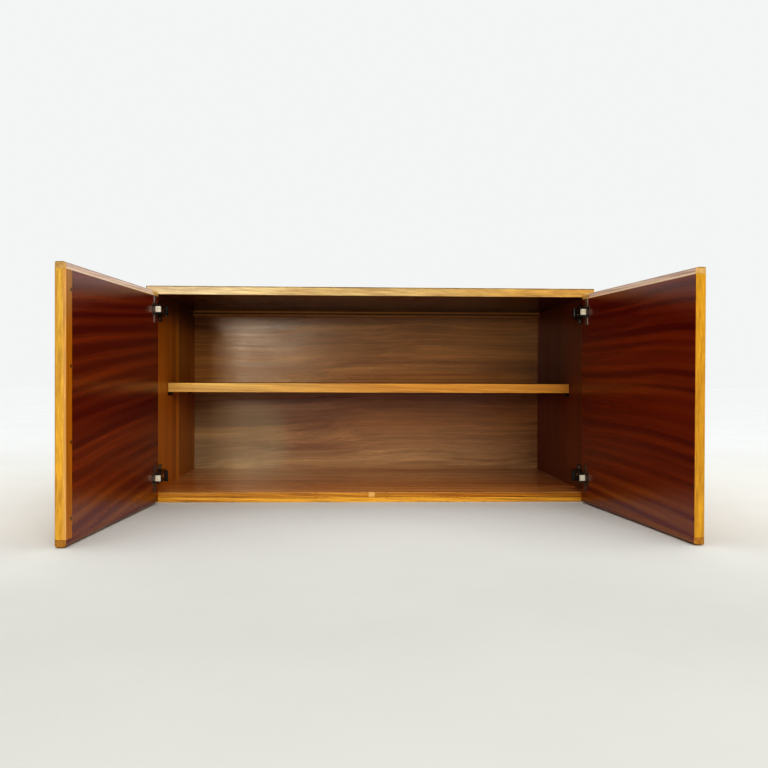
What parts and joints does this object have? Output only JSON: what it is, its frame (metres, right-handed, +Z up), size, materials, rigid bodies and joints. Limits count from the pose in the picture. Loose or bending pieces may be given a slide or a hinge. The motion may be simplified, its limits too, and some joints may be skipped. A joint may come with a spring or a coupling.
{
  "type": "two door cabinet with one shelf",
  "caption": "Wide low wooden cabinet with a shelf and two overlay doors on concealed hinges, both standing open.",
  "frame": {"origin": "middle of the carcass underside, halfway along its width and its depth", "axes": "+X to the right seen from the front, +Y to the back, +Z up"},
  "size_m": [1.0746, 1.0175, 0.48],
  "materials": {
    "carcass_veneer": "satin lacquer",
    "side_veneer": "satin lacquer",
    "floor_veneer": "satin lacquer",
    "back_board": "satin lacquer",
    "rail_wood": "satin",
    "pale_lipping": "satin lacquer",
    "golden_lipping": "satin lacquer",
    "orange_lipping": "satin lacquer",
    "closing_strip": "satin lacquer",
    "door_inner_veneer": "satin lacquer",
    "door_outer_veneer": "satin lacquer",
    "door_core": "raw board",
    "dowel_wood": "raw",
    "black_metal": "black finish",
    "bronze_metal": "dark bronze finish",
    "bright_steel": "zinc plated",
    "ivory_nylon": "moulded"
  },
  "bodies": {
    "carcass": {"top_panel": "carcass_veneer", "top_front_lipping": "pale_lipping", "bottom_panel": "floor_veneer", "bottom_lipping_lower": "golden_lipping", "bottom_lipping_upper": "orange_lipping", "left_side_panel": "side_veneer", "right_side_panel": "side_veneer", "left_side_lipping": "golden_lipping", "right_side_lipping": "golden_lipping", "back_panel": "back_board", "back_panel_pins": "bright_steel", "back_rail": "rail_wood", "rail_screws": "bright_steel", "carcass_dowels": "dowel_wood", "shelf_pins": "black_metal", "left_hinge_plates": "black_metal", "left_plate_screws": "bright_steel", "left_hinge_arms": "black_metal", "left_arm_screws": "bright_steel", "left_arm_pins": "black_metal", "right_hinge_plates": "black_metal", "right_plate_screws": "bright_steel", "right_hinge_arms": "black_metal", "right_arm_screws": "bright_steel", "right_arm_pins": "black_metal"},
    "shelf": {"shelf_panel": "floor_veneer", "shelf_front_lipping": "pale_lipping"},
    "left_links": {"left_hinge_links": "black_metal"},
    "left_door": {"left_door_core": "door_core", "left_door_inner_veneer": "door_inner_veneer", "left_door_outer_veneer": "door_outer_veneer", "left_door_top_lipping": "golden_lipping", "left_door_bottom_lipping": "golden_lipping", "left_door_hinge_lipping": "golden_lipping", "left_door_meeting_lipping": "golden_lipping", "left_door_closing_strip": "closing_strip", "left_door_strip_pins": "black_metal", "left_hinge_cups": "bronze_metal", "left_cup_screws": "bronze_metal", "left_cup_pins": "bright_steel", "left_hinge_blocks": "ivory_nylon"},
    "right_links": {"right_hinge_links": "black_metal"},
    "right_door": {"right_door_core": "door_core", "right_door_inner_veneer": "door_inner_veneer", "right_door_outer_veneer": "door_outer_veneer", "right_door_top_lipping": "golden_lipping", "right_door_bottom_lipping": "golden_lipping", "right_door_hinge_lipping": "golden_lipping", "right_door_meeting_lipping": "golden_lipping", "right_hinge_cups": "bronze_metal", "right_cup_screws": "bronze_metal", "right_cup_pins": "bright_steel", "right_hinge_blocks": "ivory_nylon"}
  },
  "joints": [
    {"name": "shelf_slide", "type": "slide", "parent": "carcass", "child": "shelf", "axis": [0, -1, 0], "range_m": [0, 0.085]},
    {"name": "left_link_pivot", "type": "hinge", "parent": "carcass", "child": "left_links", "pos_m": [-0.4565, -0.2479, 0.2415], "axis": [0, 0, 1], "range_deg": [-40.22, 1.5]},
    {"name": "left_door_hinge", "type": "hinge", "parent": "left_links", "child": "left_door", "pos_m": [-0.47524, -0.27762, 0.2415], "axis": [0, 0, 1], "range_deg": [-4.99, 134.71]},
    {"name": "right_link_pivot", "type": "hinge", "parent": "carcass", "child": "right_links", "pos_m": [0.4565, -0.2479, 0.2415], "axis": [0, 0, -1], "range_deg": [-41.07, 0.65]},
    {"name": "right_door_hinge", "type": "hinge", "parent": "right_links", "child": "right_door", "pos_m": [0.4748, -0.2779, 0.2415], "axis": [0, 0, -1], "range_deg": [-2.14, 137.56]}
  ],
  "couplings": [
    {"joint": "left_link_pivot", "follows": "left_door_hinge", "ratio": -0.29849},
    {"joint": "right_link_pivot", "follows": "right_door_hinge", "ratio": -0.29849}
  ]
}
